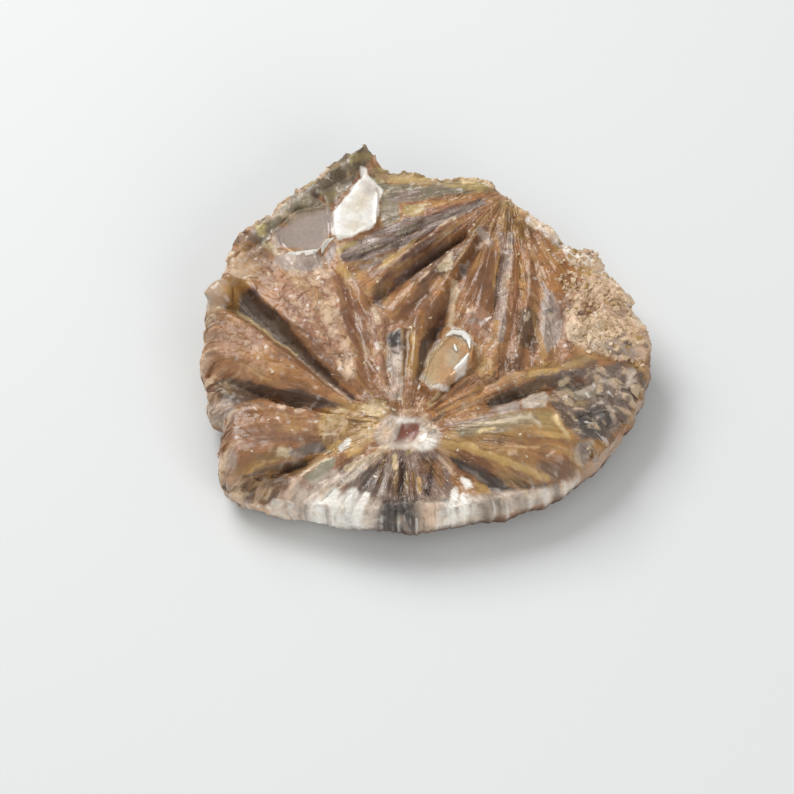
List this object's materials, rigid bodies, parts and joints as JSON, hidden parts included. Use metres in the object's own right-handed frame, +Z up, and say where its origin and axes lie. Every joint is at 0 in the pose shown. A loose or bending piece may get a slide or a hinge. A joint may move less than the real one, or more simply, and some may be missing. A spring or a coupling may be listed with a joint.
{
  "type": "gypsum specimen",
  "caption": "Flat fragment of radiating amber gypsum blades grown together, with a clear cleavage window, a granular rim and a flat underside to rest on.",
  "frame": {"origin": "under the middle of the specimen, on the flat broken underside that it rests on", "axes": "+X to the right and +Y away, both along the slab, seen from the side the picture shows; +Z up, through the slab's thickness"},
  "size_m": [0.0496, 0.0472, 0.0112],
  "materials": {
    "gypsum": "amber-brown translucent crystal, pearly on cleavage faces, matt and sugary on broken ones"
  },
  "bodies": {
    "root": {"gypsum_specimen": "gypsum"}
  },
  "joints": []
}
